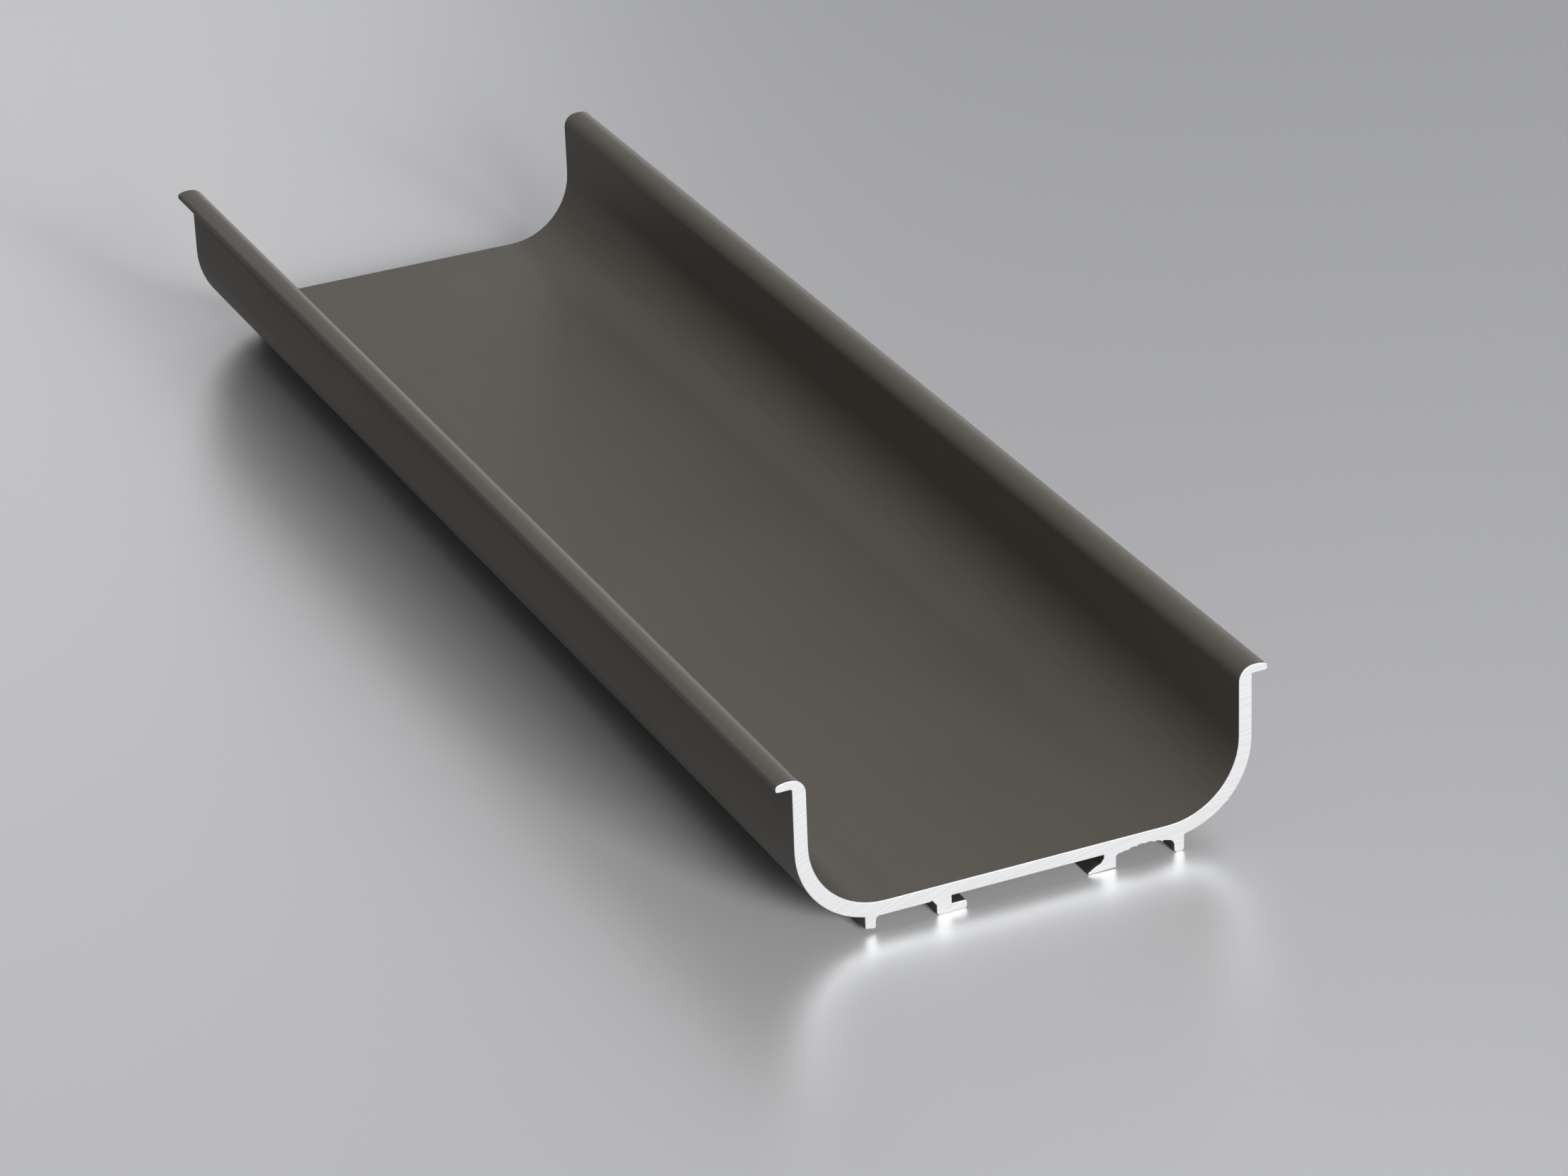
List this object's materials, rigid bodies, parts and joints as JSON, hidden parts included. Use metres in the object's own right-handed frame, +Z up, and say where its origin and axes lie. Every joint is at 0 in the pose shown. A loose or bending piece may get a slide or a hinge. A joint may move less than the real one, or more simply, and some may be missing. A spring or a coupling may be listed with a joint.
{
  "type": "handleless finger pull profile",
  "caption": "Extruded aluminium channel with outward lips, rounded corners and clip hooks on the back, a recessed finger grip between handleless cabinet fronts.",
  "frame": {"origin": "middle of the footprint, at the height of the hook bottoms that it stands on", "axes": "+X across the section from the fixed hook to the snap hook, +Y along the length, +Z up out of the open finger channel"},
  "size_m": [0.074, 0.235, 0.026],
  "materials": {
    "anodised_aluminium": "matte dark bronze anodised, with bare metal on the two sawn ends"
  },
  "bodies": {
    "root": {"finger_pull_profile": "anodised_aluminium"}
  },
  "joints": []
}
